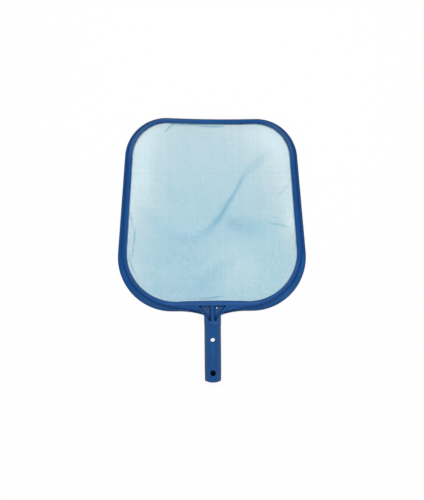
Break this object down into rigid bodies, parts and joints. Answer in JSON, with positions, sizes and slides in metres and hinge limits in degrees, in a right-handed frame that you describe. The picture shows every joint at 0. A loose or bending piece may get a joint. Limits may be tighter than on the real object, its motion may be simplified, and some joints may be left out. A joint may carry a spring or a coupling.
{
  "type": "leaf skimmer head",
  "caption": "Flat pool leaf skimmer head: hollow-backed rounded frame with a stub for a pole, a fine net held by a clamp ring, and a spring clip with two snap buttons.",
  "frame": {"origin": "middle of the whole length and width, on the back face that the head lies on", "axes": "+X across the head to the right seen from the front, +Y along the stub towards the head's far edge, +Z out of the front face"},
  "size_m": [0.3224, 0.451, 0.0355],
  "materials": {
    "frame_blue": "satin moulded polypropylene",
    "ring_blue": "satin moulded polypropylene",
    "net_mesh": "fine woven monofilament mesh",
    "clip_black": "moulded acetal"
  },
  "bodies": {
    "head": {"frame": "frame_blue", "net": "net_mesh", "net_ring": "ring_blue", "clip_bow": "clip_black"},
    "front_arm": {"clip_arm_front": "clip_black"},
    "rear_arm": {"clip_arm_rear": "clip_black"}
  },
  "joints": [
    {"name": "front_arm_flex", "type": "hinge", "parent": "head", "child": "front_arm", "pos_m": [0, -0.16725, 0.023], "axis": [1, 0, 0], "range_deg": [0, 5], "stiffness_Nm_per_rad": 4},
    {"name": "rear_arm_flex", "type": "hinge", "parent": "head", "child": "rear_arm", "pos_m": [0, -0.16725, 0.013], "axis": [-1, 0, 0], "range_deg": [0, 5], "stiffness_Nm_per_rad": 4}
  ]
}
